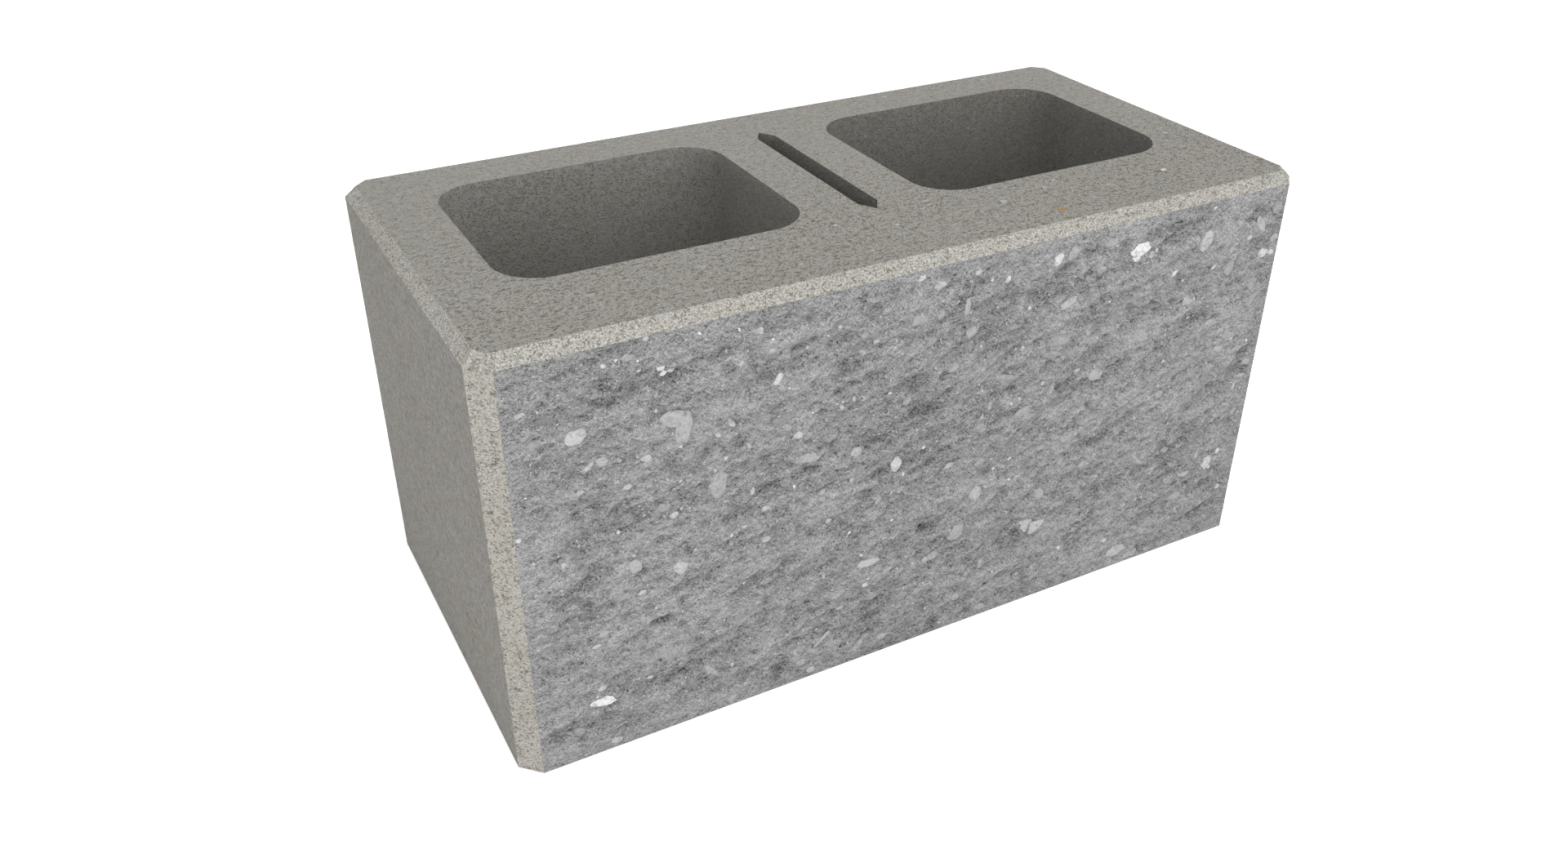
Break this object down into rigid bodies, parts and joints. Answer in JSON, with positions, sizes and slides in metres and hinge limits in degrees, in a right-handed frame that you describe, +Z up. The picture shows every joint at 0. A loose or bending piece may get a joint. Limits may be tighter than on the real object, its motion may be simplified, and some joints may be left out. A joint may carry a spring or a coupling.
{
  "type": "split-face concrete block",
  "caption": "Hollow concrete wall block with tapered cores, a splitting slot in the centre web, a rough split front face, and bevelled top edges and upright corners.",
  "frame": {"origin": "middle of the bed, the face that the block rests on", "axes": "+X along the block's length, +Y from the split face to the back, +Z up"},
  "size_m": [0.4, 0.2, 0.2],
  "materials": {
    "concrete": "matte, fine sandy grain on the cast faces, coarse broken grain with pale aggregate on the split face"
  },
  "bodies": {
    "root": {"concrete_block": "concrete"}
  },
  "joints": []
}
